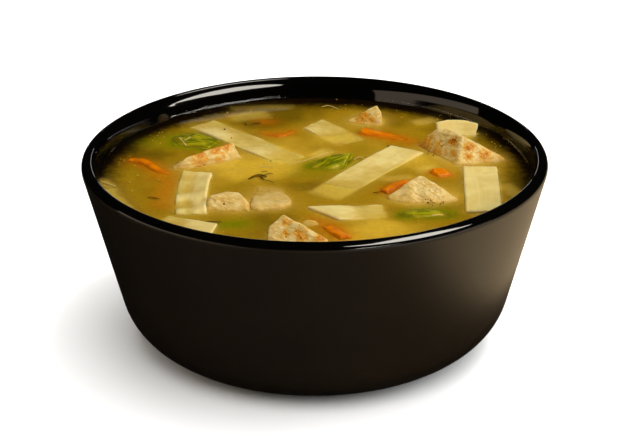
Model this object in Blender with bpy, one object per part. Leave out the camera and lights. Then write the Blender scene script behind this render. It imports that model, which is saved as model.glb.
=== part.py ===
"""Chicken noodle soup in its bowl: metres, +Z up, the bowl's foot on z = 0 and its axis on Z.

Sizes below are in millimetres. The food floats in the broth, so each piece is placed on the
broth's surface: x to the right, y away from the front, and height above the surface.
"""

import math

import bmesh
import bpy
from mathutils import Vector

MM = 0.001
GAP = 0.35  # how far each pocket in the broth stands off from the piece that floats in it
SHARPEST = 2.0  # the most that a pocket's corner may reach out, as a multiple of that gap

# The bowl: straight leaning sides, a rounded lip and a wide rounded bottom corner.
RIM_RADIUS = 76.0
BOWL_HEIGHT = 63.5
WALL_WIDTH = 3.8  # measured level, across the lip
WALL_LEAN = math.radians(14.0)  # from upright
LIP_OUTER_ROUND = 2.1
LIP_INNER_ROUND = 1.1
OUTER_CORNER = 21.0
INNER_CORNER = 17.0
INNER_FLOOR = 6.5
FOOT_INNER_RADIUS = 37.0
FOOT_RECESS = 1.5
TURN_STEPS = 64

# The broth fills the bowl to a little below the lip.
BROTH_LEVEL = 57.1
BROTH_CLEARANCE = 0.3

NOODLE_WIDTH = 11.6
NOODLE_THICKNESS = 1.5
STICK_WIDTH = 3.8  # a carrot cut into sticks
DICE_SIDE = 5.0
CELERY_THICKNESS = 3.0


# ---------------------------------------------------------------- materials and objects


def material(name, colour, roughness):
    made = bpy.data.materials.new(name)
    made.use_nodes = True
    shader = made.node_tree.nodes["Principled BSDF"]
    shader.inputs["Base Color"].default_value = (*colour, 1.0)
    shader.inputs["Roughness"].default_value = roughness
    shader.inputs["Metallic"].default_value = 0.0
    return made


def add(name, mesh, finish, place=(0.0, 0.0, 0.0), parent=None):
    """A new object with one material; place is in millimetres."""
    made = bpy.data.objects.new(name, mesh)
    mesh.materials.append(finish)
    bpy.context.scene.collection.objects.link(made)
    made.location = Vector(place) * MM
    made.parent = parent
    return made


def smooth(mesh):
    mesh.shade_smooth()
    mesh.set_sharp_from_angle(angle=math.radians(35.0))


# ---------------------------------------------------------------- turned shapes


def arc(centre, radius, start, end, steps):
    """Points (r, z) on an arc; the angles are in radians, measured up from level outwards."""
    points = []
    for i in range(steps + 1):
        angle = start + (end - start) * i / steps
        points.append(
            (centre[0] + radius * math.cos(angle), centre[1] + radius * math.sin(angle))
        )
    return points


def wall_radius(z, inset):
    """The bowl's outer wall, or a face set in from it by a level distance."""
    widest = RIM_RADIUS - LIP_OUTER_ROUND + LIP_OUTER_ROUND / math.cos(WALL_LEAN)
    lip_centre = BOWL_HEIGHT - LIP_OUTER_ROUND
    return widest - (lip_centre - z) * math.tan(WALL_LEAN) - inset


def bottom_corner(inset, floor, radius, steps):
    """The arc from the leaning wall round to the level floor."""
    z = floor + radius
    r = wall_radius(z, inset) - radius / math.cos(WALL_LEAN)
    return arc((r, z), radius, -WALL_LEAN, -math.pi / 2, steps)


def bowl_profile():
    inner = bottom_corner(WALL_WIDTH, INNER_FLOOR, INNER_CORNER, 5)
    lip_inner_z = BOWL_HEIGHT - LIP_INNER_ROUND
    lip_inner_r = wall_radius(lip_inner_z, WALL_WIDTH) + LIP_INNER_ROUND / math.cos(
        WALL_LEAN
    )
    lip_inner = arc(
        (lip_inner_r, lip_inner_z),
        LIP_INNER_ROUND,
        math.pi - WALL_LEAN,
        math.pi / 2,
        3,
    )
    lip_outer = arc(
        (RIM_RADIUS - LIP_OUTER_ROUND, BOWL_HEIGHT - LIP_OUTER_ROUND),
        LIP_OUTER_ROUND,
        math.pi / 2,
        -WALL_LEAN,
        4,
    )
    outer = bottom_corner(0.0, 0.0, OUTER_CORNER, 7)
    foot = [
        (FOOT_INNER_RADIUS, 0.0),
        (FOOT_INNER_RADIUS - FOOT_RECESS, FOOT_RECESS),
        (0.0, FOOT_RECESS),
    ]
    return [(0.0, INNER_FLOOR)] + inner[::-1] + lip_inner + lip_outer + outer + foot


def broth_profile():
    inset = WALL_WIDTH + BROTH_CLEARANCE / math.cos(WALL_LEAN)
    floor = INNER_FLOOR + BROTH_CLEARANCE
    corner = bottom_corner(inset, floor, INNER_CORNER - BROTH_CLEARANCE, 4)
    edge = (wall_radius(BROTH_LEVEL, inset), BROTH_LEVEL)
    return [(0.0, BROTH_LEVEL), edge] + corner + [(0.0, floor)]


def turned(name, profile, finish, parent):
    """A body turned round Z; the profile leaves the axis on top and comes back to it below."""
    mesh = bpy.data.meshes.new(name)
    edges = [(i, i + 1) for i in range(len(profile) - 1)]
    mesh.from_pydata([(r * MM, 0.0, z * MM) for r, z in profile], edges, [])
    body = add(name, mesh, finish, parent=parent)
    turn = body.modifiers.new("turn", "SCREW")
    turn.steps = turn.render_steps = TURN_STEPS
    turn.use_merge_vertices = True
    turn.merge_threshold = 0.00001
    return body


# ---------------------------------------------------------------- strips


def along(points, share):
    """A point and a direction on the smooth curve through a few points."""
    spans = len(points) - 1
    at = min(share * spans, spans - 1e-6)
    i = int(at)
    t = at - i
    before = Vector(points[i - 1]) if i else 2 * Vector(points[0]) - Vector(points[1])
    a, b = Vector(points[i]), Vector(points[i + 1])
    after = Vector(points[i + 2]) if i + 2 <= spans else 2 * b - a
    place = 0.5 * (
        2 * a
        + (b - before) * t
        + (2 * before - 5 * a + 4 * b - after) * t * t
        + (3 * a - before - 3 * b + after) * t**3
    )
    heading = (
        (b - before)
        + 2 * (2 * before - 5 * a + 4 * b - after) * t
        + 3 * (3 * a - before - 3 * b + after) * t * t
    )
    return place, heading.normalized()


def strip_section(width, thickness, arch, across):
    """(sideways, up) points round a strip's section, whose middle stands up by arch."""
    edge = 0.3 * thickness
    half = width / 2 - edge
    ring = []
    for side in (1, -1):
        for i in range(across + 1):
            s = side * (1 - 2 * i / across)
            ring.append((-s * half, side * thickness / 2 + arch * (1 - s * s)))
        ring.append((side * width / 2, 0.0))
    return ring


def strip(name, finish, points, width, thickness, **shape):
    """A cut strip of food along a curve.

    roll tips it to one side at each end, in degrees; arch bows its section; cut slants its
    first and last ends, in degrees; stations and across set how many faces it has.
    """
    roll = shape.get("roll", (0.0, 0.0))
    cut = shape.get("cut", (0.0, 0.0))
    stations = shape.get("stations", 8)
    across = shape.get("across", 2)
    ring = strip_section(width, thickness, shape.get("arch", 0.0), across)
    place = points[len(points) // 2]
    origin = Vector((place[0], place[1], 0.0))
    bm = bmesh.new()
    loops = []
    for n in range(stations + 1):
        share = n / stations
        centre, heading = along(points, share)
        sideways = heading.cross(Vector((0.0, 0.0, 1.0))).normalized()
        tip = math.radians(roll[0] + (roll[1] - roll[0]) * share)
        up = sideways.cross(heading).normalized()
        right = sideways * math.cos(tip) + up * math.sin(tip)
        up = right.cross(heading).normalized()
        slant = math.tan(math.radians(cut[0])) * max(0.0, 1 - 3 * share)
        slant += math.tan(math.radians(cut[1])) * max(0.0, 3 * share - 2)
        loops.append(
            [
                bm.verts.new(
                    (centre - origin + right * s + up * u + heading * slant * s) * MM
                )
                for s, u in ring
            ]
        )
    for first, second in zip(loops, loops[1:]):
        for i in range(len(ring)):
            j = (i + 1) % len(ring)
            bm.faces.new((first[i], first[j], second[j], second[i]))
    bm.faces.new(loops[0][::-1])
    bm.faces.new(loops[-1])
    bmesh.ops.recalc_face_normals(bm, faces=bm.faces)
    mesh = bpy.data.meshes.new(name)
    bm.to_mesh(mesh)
    bm.free()
    smooth(mesh)
    return add(name, mesh, finish, (place[0], place[1], BROTH_LEVEL), food)


# ---------------------------------------------------------------- chunks


def chunk(name, finish, place, corners, edge):
    """A cut lump: the solid whose corners are given from its place, with its edges taken off."""
    bm = bmesh.new()
    for corner in corners:
        bm.verts.new(Vector(corner) * MM)
    hull = bmesh.ops.convex_hull(bm, input=bm.verts)
    loose = {v for v in hull["geom_interior"] if isinstance(v, bmesh.types.BMVert)}
    bmesh.ops.delete(bm, geom=list(loose), context="VERTS")
    bmesh.ops.dissolve_limit(
        bm, angle_limit=math.radians(1.0), verts=bm.verts, edges=bm.edges
    )
    bmesh.ops.recalc_face_normals(bm, faces=bm.faces)
    mesh = bpy.data.meshes.new(name)
    bm.to_mesh(mesh)
    bm.free()
    smooth(mesh)
    made = add(name, mesh, finish, (place[0], place[1], BROTH_LEVEL), food)
    bevel = made.modifiers.new("cut edges", "BEVEL")
    bevel.width = edge * MM
    bevel.segments = 1
    bevel.limit_method = "ANGLE"
    bevel.angle_limit = math.radians(20.0)
    return made


def grown(mesh, by):
    """A copy of a closed mesh whose faces all stand out further."""
    bm = bmesh.new()
    bm.from_mesh(mesh)
    bm.normal_update()
    moves = [v.normal * by * min(v.calc_shell_factor(), SHARPEST) for v in bm.verts]
    for vertex, move in zip(bm.verts, moves):
        vertex.co += move
    larger = bpy.data.meshes.new(mesh.name + "_pocket")
    bm.to_mesh(larger)
    bm.free()
    return larger


def pocket(broth, piece):
    """Cuts the broth round a piece, which keeps a thin gap all round."""
    cutter = bpy.data.objects.new(piece.name + "_pocket", grown(piece.data, GAP * MM))
    bpy.context.scene.collection.objects.link(cutter)
    cutter.parent = piece.parent
    cutter.location = piece.location
    cutter.rotation_euler = piece.rotation_euler
    cutter.hide_render = True
    cutter.display_type = "WIRE"
    cut = broth.modifiers.new(piece.name, "BOOLEAN")
    cut.operation = "DIFFERENCE"
    cut.solver = "EXACT"
    cut.object = cutter


# ---------------------------------------------------------------- the soup

for old in list(bpy.data.objects):
    bpy.data.objects.remove(old, do_unlink=True)

glaze = material("bowl_glaze", (0.010, 0.007, 0.004), 0.30)
liquor = material("broth", (0.38, 0.24, 0.012), 0.08)
pasta = material("noodle", (0.72, 0.58, 0.25), 0.40)
meat = material("chicken", (0.78, 0.62, 0.32), 0.50)
root = material("carrot", (0.76, 0.20, 0.008), 0.35)
stalk = material("celery", (0.18, 0.20, 0.012), 0.35)

soup = bpy.data.objects.new("soup", None)
bpy.context.scene.collection.objects.link(soup)
food = bpy.data.objects.new("food", None)
bpy.context.scene.collection.objects.link(food)
food.parent = soup

turned("bowl", bowl_profile(), glaze, soup)
broth = turned("broth", broth_profile(), liquor, soup)

# Wide flat noodles. Each lies at the surface and dips below it at one end or along one edge.
NOODLES = {
    "noodle_long_left": dict(
        points=[(-39.4, 43.6, 0.0), (-23.2, 25.7, 0.0), (-7.4, 8.2, -0.5)],
        roll=(6.0, 5.0),
        stations=7,
    ),
    "noodle_back": dict(
        points=[(-0.6, 43.0, 0.3), (6.0, 34.2, 0.0), (12.4, 24.5, -1.6)],
        roll=(7.0, 2.0),
        cut=(16.0, 0.0),
        stations=6,
    ),
    "noodle_long_middle": dict(
        points=[(2.6, -22.6, -1.8), (9.6, -12.4, -0.5), (19.6, 2.0, 0.0), (31.2, 17.4, 0.2)],
        roll=(0.0, -3.0),
        width=12.6,
        cut=(0.0, 8.0),
        stations=9,
    ),
    "noodle_right": dict(
        points=[(54.3, 1.0, 0.2), (53.4, -17.0, 0.5), (52.5, -36.0, 0.1)],
        stations=5,
    ),
    "noodle_front": dict(
        points=[(2.4, -36.8, 0.4), (11.0, -36.0, 0.1), (22.0, -34.4, -1.8)],
        cut=(40.0, 0.0),
        width=11.0,
        stations=6,
    ),
    "noodle_curved_left": dict(
        points=[(-38.4, -2.0, 0.8), (-39.2, -14.0, 0.8), (-39.0, -27.0, -0.2), (-38.4, -36.6, -1.6)],
        roll=(-8.0, -20.0),
        width=10.6,
        arch=-0.5,
        cut=(-14.0, 0.0),
        stations=8,
    ),
    "noodle_edge_left": dict(
        points=[(-65.8, -15.0, -1.8), (-63.4, -23.0, -0.8), (-58.6, -33.4, -0.7), (-52.8, -41.6, -1.6)],
        roll=(12.0, 12.0),
        width=6.4,
        stations=8,
    ),
    "noodle_edge_front": dict(
        points=[(-47.2, -40.4, -1.7), (-40.4, -44.4, -0.2), (-30.6, -49.0, 0.4)],
        roll=(-6.0, 0.0),
        width=8.6,
        cut=(0.0, 14.0),
        stations=6,
    ),
    "noodle_back_left": dict(
        points=[(-29.6, 48.6, -1.1), (-23.4, 51.2, -0.6), (-16.4, 53.0, -0.4)],
        roll=(-4.0, -6.0),
        width=8.2,
        stations=5,
    ),
    "noodle_curled_right": dict(
        points=[(42.4, 31.6, 0.2), (48.8, 32.4, 0.9), (55.4, 30.8, 0.1)],
        roll=(-56.0, -48.0),
        width=8.4,
        arch=-0.4,
        stations=6,
    ),
    "noodle_under_celery": dict(
        points=[(-0.4, 11.4, -0.5), (2.0, 14.4, -0.2), (5.6, 18.4, -0.9)],
        width=6.2,
        stations=4,
    ),
}

# Cut chicken breast. Each lump floats with a corner or an edge out of the broth.
CHICKEN = {
    "chicken_browned_left": (
        (-35.0, 7.0),
        [
            (-12.2, -4.6, 0.3), (-7.9, -4.0, 3.0), (4.0, 3.9, 4.0), (7.8, 6.5, 4.6),
            (10.4, 4.2, 0.2), (-9.0, -8.0, -4.0), (9.6, 1.0, -5.0), (6.6, 10.4, -4.0),
            (-8.6, -0.6, -4.0),
        ],
    ),
    "chicken_left": (
        (-27.0, -30.0),
        [
            (-6.2, 1.0, 3.0), (-1.6, 3.0, 3.6), (3.0, 2.4, 4.0), (7.0, -1.4, 1.0),
            (-6.6, -3.2, -0.3), (6.4, -4.4, -0.3), (-5.6, -2.6, -5.0), (5.4, -3.4, -5.0),
            (4.0, 8.6, -4.0), (-5.6, 9.0, -4.0),
        ],
    ),
    "chicken_flaked": (
        (-13.0, -26.0),
        [
            (-5.4, -6.6, 0.7), (6.2, -3.6, 1.3), (3.2, -7.4, 0.8), (-3.2, -8.0, 0.5),
            (-3.4, 8.6, 0.0), (2.0, 7.2, 0.4), (-3.8, -6.0, -3.0), (3.6, -6.0, -3.0),
            (-2.6, 7.4, -3.0),
        ],
    ),
    "chicken_back": (
        (19.0, 44.0),
        [
            (3.2, 2.6, 5.6), (4.4, -0.6, 4.0), (-1.2, 2.8, 3.2), (-7.0, 1.4, 0.3),
            (4.2, -3.2, -4.0), (-5.0, -3.0, -4.0), (4.4, 8.0, -4.0), (-5.0, 8.0, -4.0),
        ],
    ),
    "chicken_grilled": (
        (48.0, 14.0),
        [
            (-12.8, 8.0, 0.6), (-7.8, 8.6, 5.2), (-3.0, 7.2, 6.4), (0.7, -2.6, 7.2),
            (6.0, -4.2, 4.8), (12.2, -6.8, 0.9), (15.6, -5.2, 0.0), (-0.8, -10.4, -0.6),
            (-0.6, -9.8, -5.0), (10.6, -9.4, -5.0), (10.0, 1.0, -5.0), (-3.0, 11.4, -5.0),
            (-11.0, 8.0, -4.0),
        ],
    ),
    "chicken_peak": (
        (34.0, -21.0),
        [
            (-0.4, 1.2, 6.2), (-4.0, -1.4, 3.8), (5.8, -2.6, 3.2), (-11.6, -3.4, 0.3),
            (11.2, -5.0, 0.3), (-4.2, -7.6, -0.6), (5.4, -7.6, -0.6), (-4.0, -6.6, -5.0),
            (6.0, -6.6, -5.0), (8.4, 6.6, -4.0), (-2.0, 7.2, -4.0),
        ],
    ),
    "chicken_front": (
        (-5.0, -56.0),
        [
            (-4.6, 3.2, 6.9), (1.8, -0.4, 4.6), (9.4, -3.4, 1.4), (-9.0, 0.6, 4.0),
            (-9.4, -3.6, 0.2), (8.0, -6.2, -0.4), (-7.6, -4.4, -4.0), (5.6, -5.0, -4.0),
            (-6.0, 7.4, -3.0), (1.4, 5.4, -3.0),
        ],
    ),
    "chicken_crumb": (
        (-1.2, -43.6),
        [
            (-2.8, 0.6, 0.3), (-0.8, 1.6, 1.1), (1.8, 0.8, 1.1), (2.8, -0.8, 0.2),
            (-1.4, -1.6, 0.4), (-0.4, 0.0, -1.6),
        ],
    ),
}

CARROT_STICKS = {
    "carrot_stick_left": dict(
        points=[(-61.6, 9.4, 0.1), (-56.4, 6.4, 0.3), (-51.4, 0.2, -0.3), (-47.2, -3.6, -1.2)],
        width=2.8,
        stations=7,
    ),
    "carrot_stick_back": dict(
        points=[(-18.4, 34.8, -0.8), (-12.6, 32.2, 0.1), (-6.6, 36.6, -0.3)],
        width=3.2,
        stations=6,
    ),
    "carrot_stick_right": dict(
        points=[(16.4, 34.4, 0.7), (24.0, 31.2, 0.2), (33.0, 26.8, -1.2)],
        stations=5,
    ),
    "carrot_slice": dict(
        points=[(22.0, -19.4, 0.1), (26.2, -15.6, 0.6), (30.0, -11.0, 0.2)],
        stations=5,
    ),
    "carrot_stick_front": dict(
        points=[(3.2, -46.0, -1.0), (6.4, -51.0, 0.1), (9.2, -55.4, 0.4)],
        width=3.2,
        cut=(0.0, -20.0),
        stations=5,
    ),
}

# Celery cut across the stalk, so that each piece keeps the stalk's bow.
CELERY = {
    "celery_left": dict(
        points=[(-49.6, 27.0, -1.8), (-42.6, 26.6, -0.9), (-34.8, 21.6, -1.2)],
        width=10.6,
        arch=0.6,
        roll=(-5.0, -5.0),
        stations=6,
    ),
    "celery_middle": dict(
        points=[(-7.0, 0.2, -2.2), (-0.4, 3.4, -0.9), (6.0, 5.4, 0.4), (11.0, 6.0, 0.7)],
        width=8.6,
        arch=1.4,
        roll=(0.0, -10.0),
        cut=(0.0, -35.0),
        stations=7,
    ),
    "celery_front": dict(
        points=[(24.6, -38.2, -2.0), (34.0, -36.6, -1.4), (44.0, -37.4, -1.9)],
        width=6.8,
        arch=0.8,
        stations=6,
    ),
}

pieces = []
for name, shape in NOODLES.items():
    width = shape.pop("width", NOODLE_WIDTH)
    pieces.append(strip(name, pasta, width=width, thickness=NOODLE_THICKNESS, **shape))
for name, (place, corners) in CHICKEN.items():
    pieces.append(chunk(name, meat, place, corners, edge=0.5))
for name, shape in CARROT_STICKS.items():
    width = shape.pop("width", STICK_WIDTH)
    pieces.append(strip(name, root, width=width, thickness=0.8 * width, **shape))
for name, shape in CELERY.items():
    pieces.append(strip(name, stalk, thickness=CELERY_THICKNESS, across=4, **shape))

half = DICE_SIDE / 2
dice_corners = [
    (x * half, y * half, z * half) for x in (-1, 1) for y in (-1, 1) for z in (-1, 1)
]
dice = chunk("carrot_dice", root, (41.4, -3.8), dice_corners, edge=0.9)
dice.rotation_euler = (0.12, -0.10, 0.4)
pieces.append(dice)

for piece in pieces:
    pocket(broth, piece)
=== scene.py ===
"""The looks of a bowl of chicken noodle soup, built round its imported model.

Lengths are in millimetres until a mesh is made, and then in metres. The bowl's axis is Z, its foot
stands on z = 0, and -Y is the side that faces the eater.
"""

import math
import random

import bmesh
import bpy
import numpy as np
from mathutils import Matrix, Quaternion, Vector
from mathutils.bvhtree import BVHTree
from mathutils.kdtree import KDTree


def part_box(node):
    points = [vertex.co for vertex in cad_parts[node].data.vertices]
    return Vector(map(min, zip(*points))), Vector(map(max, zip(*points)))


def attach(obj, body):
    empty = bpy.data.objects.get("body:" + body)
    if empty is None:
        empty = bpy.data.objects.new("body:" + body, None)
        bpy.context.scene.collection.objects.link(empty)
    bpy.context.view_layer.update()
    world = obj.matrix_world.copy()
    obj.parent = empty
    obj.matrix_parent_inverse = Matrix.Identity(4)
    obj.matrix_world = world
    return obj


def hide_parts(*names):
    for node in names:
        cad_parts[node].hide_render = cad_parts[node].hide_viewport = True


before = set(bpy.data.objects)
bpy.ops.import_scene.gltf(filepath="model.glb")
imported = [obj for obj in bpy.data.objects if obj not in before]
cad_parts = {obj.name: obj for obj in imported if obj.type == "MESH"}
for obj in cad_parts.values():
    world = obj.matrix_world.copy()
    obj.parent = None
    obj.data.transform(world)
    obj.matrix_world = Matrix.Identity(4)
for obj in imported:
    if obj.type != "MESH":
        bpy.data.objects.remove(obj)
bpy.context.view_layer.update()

# -------------------- the bowl
# One piece of stoneware, turned with straight leaning walls, a rounded lip and a wide rounded bottom.
# A black glaze runs glossy inside and over the lip and stops just under it; the outside is left a
# satin brown-black clay.

MM = 0.001
RIM_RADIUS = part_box("bowl")[1].x / MM
BOWL_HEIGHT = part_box("bowl")[1].z / MM
WALL_LEAN = 14.0
LEAN = math.radians(WALL_LEAN)
LIP_OUTER_ROUND = 2.1
LIP_TOP = (73.45, 62.85)  # middle of the small round along the top of the lip
LIP_TOP_ROUND = 1.1
SHOULDER_ROUND = 16.0  # the wide round between the inner wall and the top of the lip
SHOULDER_TO = 150.0  # the angle at which it meets the lip
INNER_FLOOR = 6.5
INNER_CORNER = 17.0
OUTER_CORNER = 21.0
FOOT_INNER_RADIUS = 37.0
FOOT_RECESS = 1.5
GLAZE_EDGE = BOWL_HEIGHT - 1.3
GLAZE_ROUGHNESS = 0.05
GLAZE = (0.0008, 0.0007, 0.0006)
CLAY = (0.0075, 0.0036, 0.0002), (0.0120, 0.0062, 0.0006)


def arc(middle, radius, start, end, steps):
    """Points (r, z) round a middle; angles in degrees, measured up from level outwards."""
    angles = np.radians(np.linspace(start, end, steps + 1))
    return [(middle[0] + radius * math.cos(a), middle[1] + radius * math.sin(a)) for a in angles]


def corner(foot_of_wall, floor, radius, steps):
    """The arc from a leaning wall round to a level floor; foot_of_wall is the wall's radius at z = 0."""
    z = floor + radius
    r = foot_of_wall + z * math.tan(LEAN) - radius / math.cos(LEAN)
    return arc((r, z), radius, -WALL_LEAN, -90.0, steps)


def bands(rings, sides, loop=False):
    """The faces from each ring of points to the next one; loop joins the last ring to the first."""
    faces = []
    for i in range(rings if loop else rings - 1):
        a, b = i * sides, (i + 1) % rings * sides
        faces += [(a + k, a + (k + 1) % sides, b + (k + 1) % sides, b + k) for k in range(sides)]
    return faces


def fan(first, sides, tip):
    """The faces from one ring of points to a single point."""
    return [(first + k, first + (k + 1) % sides, tip) for k in range(sides)]


def turned(name, outline, hollow=False, steps=288):
    """A body turned round Z. Its outline starts and ends on the axis, or closes on itself if hollow."""
    rings = outline if hollow else outline[1:-1]
    angles = np.linspace(0, 2 * math.pi, steps, endpoint=False)
    points = [(r * math.cos(a), r * math.sin(a), z) for r, z in rings for a in angles]
    faces = bands(len(rings), steps, hollow)
    if not hollow:
        tip = len(points)
        points += [(0.0, 0.0, outline[0][1]), (0.0, 0.0, outline[-1][1])]
        faces += fan(0, steps, tip) + fan(tip - steps, steps, tip + 1)
    return solid(name, points, faces)


def placed(name, data):
    """A new object in the scene, with a mesh, a light or a camera in it."""
    made = bpy.data.objects.new(name, data)
    bpy.context.scene.collection.objects.link(made)
    return made


def solid(name, points, faces):
    """A smooth object from points in millimetres, with its faces turned outwards."""
    mesh = bpy.data.meshes.new(name)
    mesh.from_pydata([(x * MM, y * MM, z * MM) for x, y, z in points], [], faces)
    bm = bmesh.new()
    bm.from_mesh(mesh)
    bmesh.ops.recalc_face_normals(bm, faces=bm.faces)
    bm.to_mesh(mesh)
    bm.free()
    mesh.shade_smooth()
    return placed(name, mesh)


class Finish:
    """A surface finish being made up; most methods add one step and give back its output."""

    def __init__(self, name, roughness, shine, glow=None, **own):
        """glow is the share of light that goes in, and how far each colour of it goes, in metres."""
        self.material = bpy.data.materials.new(name)
        self.material.use_nodes = True
        self.tree = self.material.node_tree
        self.shader = self.tree.nodes["Principled BSDF"]
        own.update(Roughness=roughness, Specular_IOR_Level=shine)
        if glow:
            own.update(Subsurface_Weight=glow[0], Subsurface_Radius=glow[1], Subsurface_Scale=1.0)
        for socket, value in own.items():
            self.shader.inputs[socket.replace("_", " ")].default_value = value
        place = self.step("TexCoord").outputs["Object"]
        to_mm = {0: place, 1: (1000.0,) * 3}
        self.place = self.step("VectorMath", to_mm, operation="MULTIPLY").outputs[0]
        self.x, self.y, self.z = self.step("SeparateXYZ", {0: self.place}).outputs

    def step(self, kind, inputs=None, **settings):
        node = self.tree.nodes.new("ShaderNode" + kind)
        for key, value in settings.items():
            setattr(node, key, value)
        for key, value in (inputs or {}).items():
            if isinstance(value, bpy.types.NodeSocket):
                self.tree.links.new(value, node.inputs[key])
            else:
                node.inputs[key].default_value = value
        return node

    def put(self, socket, value):
        self.tree.links.new(value, self.shader.inputs[socket])

    def noise(self, size, detail=2.0, where=None, stretch=None, rough=0.5):
        """Uneven tones of about that size, from 0 to 1; stretch draws them out along each axis."""
        where = where or self.place
        if stretch:
            where = self.step("VectorMath", {0: where, 1: stretch}, operation="DIVIDE").outputs[0]
        inputs = {"Vector": where, "Scale": 1.0 / size, "Detail": detail, "Roughness": rough}
        return self.step("TexNoise", inputs).outputs["Fac"]

    def band(self, value, low, high):
        """0 below low and 1 above high, eased between; low may be the higher of the two."""
        inputs = {"Value": value, "From Min": low, "From Max": high}
        return self.step("MapRange", inputs, interpolation_type="SMOOTHSTEP").outputs[0]

    def maths(self, operation, a, b=0.0, c=0.0):
        return self.step("Math", {0: a, 1: b, 2: c}, operation=operation).outputs[0]

    def scaled(self, value, gain, more):
        """The value times gain, and more added to it."""
        return self.maths("MULTIPLY_ADD", value, gain, more)

    def blend(self, share, a, b, mode="MIX"):
        a, b = [v if isinstance(v, bpy.types.NodeSocket) else (*v, 1.0) for v in (a, b)]
        return self.step("Mix", {0: share, 6: a, 7: b}, data_type="RGBA", blend_type=mode).outputs[2]

    def tinted(self, tone, value, low, high, share, colour):
        """A tone taken that share of the way to a colour, where the value is towards high."""
        return self.blend(self.maths("MULTIPLY", self.band(value, low, high), share), tone, colour)

    def mottled(self, size, detail, dark, light, bumps=0.0, depth=0.0):
        """Varies the surface between two tones, with bumps of a size and depth; gives back the finish."""
        self.put("Base Color", self.blend(self.noise(size, detail), dark, light))
        if bumps:
            self.relief(self.noise(bumps), depth)
        return self

    def mark(self, name, kind="Fac"):
        """What the piece's mesh carries under a name, as one number or as another kind."""
        return self.step("Attribute", attribute_name=name).outputs[kind]

    def from_axis(self, shift=0.0):
        """The distance from the bowl's axis, or from a line that far in front of it."""
        flat = self.step("CombineXYZ", {0: self.x, 1: self.maths("ADD", self.y, shift)}).outputs[0]
        return self.step("VectorMath", {0: flat}, operation="LENGTH").outputs["Value"]

    def relief(self, height, depth):
        """Fine unevenness, depth millimetres from the lowest to the highest."""
        self.put("Normal", self.step("Bump", {"Height": height, "Distance": depth * MM}).outputs[0])


def serve(piece, finish, slot, *nodes):
    """Gives a piece its finish, its record slot and its body, and hides the model's solids that it stands
    for.
    """
    piece.data.materials.clear()
    piece.data.materials.append(finish.material)
    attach(piece, "root")
    piece["kind"] = slot
    if nodes:
        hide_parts(*nodes)
    return piece


lip_outer = (RIM_RADIUS - LIP_OUTER_ROUND, BOWL_HEIGHT - LIP_OUTER_ROUND)
outer_foot = lip_outer[0] + LIP_OUTER_ROUND / math.cos(LEAN) - lip_outer[1] * math.tan(LEAN)
apart = (lip_outer[0] - LIP_TOP[0], lip_outer[1] - LIP_TOP[1])
# the angle at which the lip's two rounds share one straight line
common = math.acos((LIP_TOP_ROUND - LIP_OUTER_ROUND) / math.hypot(*apart))
common = math.degrees(common + math.atan2(apart[1], apart[0]))
lip_top = arc(LIP_TOP, LIP_TOP_ROUND, SHOULDER_TO, common, 14)
shoulder_middle = arc(lip_top[0], SHOULDER_ROUND, SHOULDER_TO - 180.0, SHOULDER_TO - 180.0, 0)[0]
shoulder = arc(shoulder_middle, SHOULDER_ROUND, 180.0 - WALL_LEAN, SHOULDER_TO, 10)[:-1]
inner_foot = shoulder[0][0] - shoulder[0][1] * math.tan(LEAN)
inside = [(0.0, INNER_FLOOR)] + corner(inner_foot, INNER_FLOOR, INNER_CORNER, 10)[::-1] + shoulder
lip = lip_top + arc(lip_outer, LIP_OUTER_ROUND, common, -WALL_LEAN, 14)
foot = [(FOOT_INNER_RADIUS, 0.0), (FOOT_INNER_RADIUS - FOOT_RECESS, FOOT_RECESS), (0.0, FOOT_RECESS)]
bowl_outline = inside + lip + corner(outer_foot, 0.0, OUTER_CORNER, 16) + foot

stoneware = Finish("black_glaze", GLAZE_ROUGHNESS, 0.5)
edge = stoneware.maths("ADD", stoneware.z, stoneware.scaled(stoneware.noise(9.0), 0.3, -0.15))
below = stoneware.band(edge, GLAZE_EDGE + 0.2, GLAZE_EDGE - 0.2)
wall_here = stoneware.scaled(stoneware.z, math.tan(LEAN), (inner_foot + outer_foot) / 2)
outside = stoneware.band(stoneware.maths("SUBTRACT", stoneware.from_axis(), wall_here), 0.4, 1.2)
underside = stoneware.band(stoneware.z, 12.0, 8.0)
clay = stoneware.maths("MULTIPLY", below, stoneware.maths("MAXIMUM", outside, underside))
stoneware.put("Base Color", stoneware.blend(clay, GLAZE, stoneware.blend(stoneware.noise(22.0), *CLAY)))
speckle = stoneware.noise(0.7, detail=3.0)
rougher = stoneware.maths("SUBTRACT", stoneware.scaled(speckle, 0.10, 0.36), GLAZE_ROUGHNESS)
stoneware.put("Roughness", stoneware.scaled(clay, rougher, GLAZE_ROUGHNESS))
stoneware.relief(stoneware.blend(clay, stoneware.noise(7.0, detail=1.0), speckle), 0.012)
serve(turned("turned_bowl", bowl_outline), stoneware, "bowl_glaze", "bowl")

# -------------------- the noodles
# Broad flat egg noodles, cut from rolled dough and boiled until they are soft and a little see-through.
# They lie at the top of the broth, and what is under it takes on its colour.

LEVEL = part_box("broth")[1].z / MM
SIGHT = 1.35  # how far down the broth hides about two thirds of what is in it
STAIN_SIGHT = 0.45  # it takes the blue out of a pale thing sooner than that
STAIN = (0.91, 0.77, 0.19)
SOAK = 0.25  # and it wets things a little way above its level
WALL_AT_LEVEL = inner_foot + LEVEL * math.tan(LEAN)
BROTH = (0.31, 0.180, 0.0050)
BROTH_PALE = (0.60, 0.370, 0.026)
BROTH_DARK = (0.13, 0.080, 0.0020)
# painted shade: the colour the broth is darkened to next to the black wall
BROTH_PAINTED_WALL_SHADE = (0.004, 0.002, 0.0005)
WALL_SHADE_SHIFT = 4.5  # the painted shade by the wall reaches further in at the back than at the front
NOODLE_MESH = 0.30  # the size of the faces on a noodle
DOUGH = (0.77, 0.595, 0.195), (0.86, 0.71, 0.29)
DOUGH_STREAK = (0.88, 0.72, 0.29)
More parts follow.
